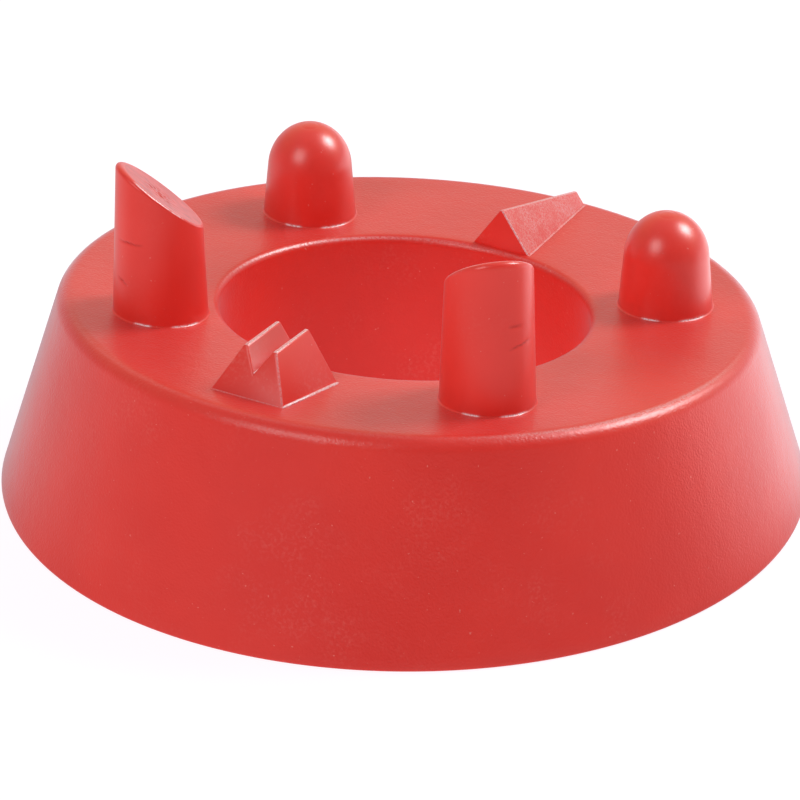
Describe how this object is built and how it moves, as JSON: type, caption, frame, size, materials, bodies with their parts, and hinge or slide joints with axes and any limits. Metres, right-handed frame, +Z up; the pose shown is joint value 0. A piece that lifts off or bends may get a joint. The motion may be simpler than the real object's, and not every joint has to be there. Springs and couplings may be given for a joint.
{
  "type": "rugby kicking tee",
  "caption": "Round kicking tee that holds a rugby ball on its point: hollow sloping ring with a tilted deck, upright posts and ridges around a central hole.",
  "frame": {"origin": "centre of the ring on the ground, at the bottom of the part", "axes": "+Z up; -Y towards the front, the high side of the deck with the notched ridge; +X to the right of the mirror plane"},
  "size_m": [0.1698, 0.1698, 0.0774],
  "materials": {
    "grained_red": "satin, fine mould grain",
    "satin_red": "satin, smoother than the skirt"
  },
  "bodies": {
    "root": {"base_ring": "grained_red", "slant_post_left": "satin_red", "slant_post_right": "satin_red", "dome_post_left": "satin_red", "dome_post_right": "satin_red", "notched_ridge": "satin_red", "plain_ridge": "satin_red"}
  },
  "joints": []
}
